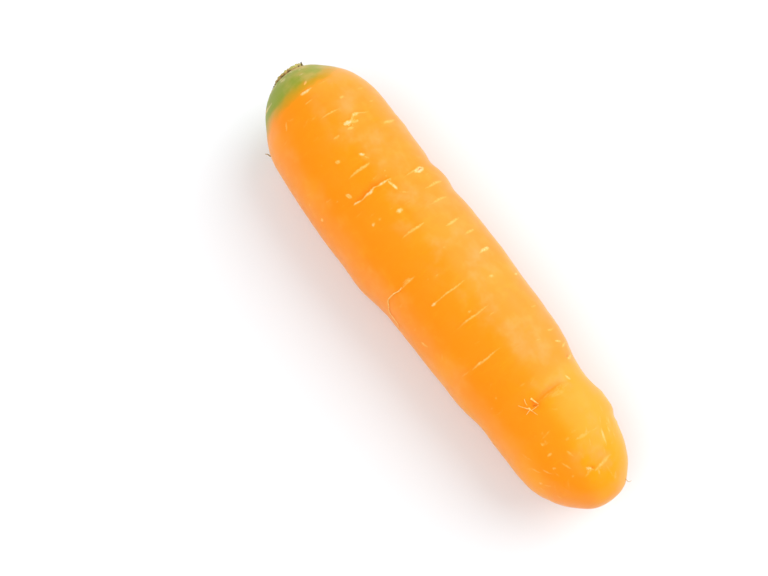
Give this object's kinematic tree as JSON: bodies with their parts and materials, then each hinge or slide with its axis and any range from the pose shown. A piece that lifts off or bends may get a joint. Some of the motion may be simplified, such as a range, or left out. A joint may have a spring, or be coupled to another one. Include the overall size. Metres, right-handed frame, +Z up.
{
  "type": "carrot",
  "caption": "Blunt-tipped orange carrot root with a green shoulder and cropped leaf-stalk stubs in its crown, lying on its side on a small flat of its underside.",
  "frame": {"origin": "middle of the whole box in X and Y, at the level of the surface the carrot lies on", "axes": "+X along the root from the leaf crown to the root tip, +Z up from the surface it lies on"},
  "size_m": [0.16, 0.0412, 0.0402],
  "materials": {
    "root_skin": "washed, slightly waxy carrot skin, orange with a green shoulder and cream corky marks",
    "leaf_stub": "cropped leaf stalk, yellow-green with dry brown edges",
    "leaf_heart": "young closed leaf bases, fresh green"
  },
  "bodies": {
    "root": {"carrot_root": "root_skin", "leaf_stub_outer_1": "leaf_stub", "leaf_stub_outer_2": "leaf_stub", "leaf_stub_outer_3": "leaf_stub", "leaf_stub_outer_4": "leaf_stub", "leaf_stub_outer_5": "leaf_stub", "leaf_stub_inner_1": "leaf_stub", "leaf_stub_inner_2": "leaf_stub", "leaf_stub_inner_3": "leaf_stub", "leaf_heart": "leaf_heart"}
  },
  "joints": []
}
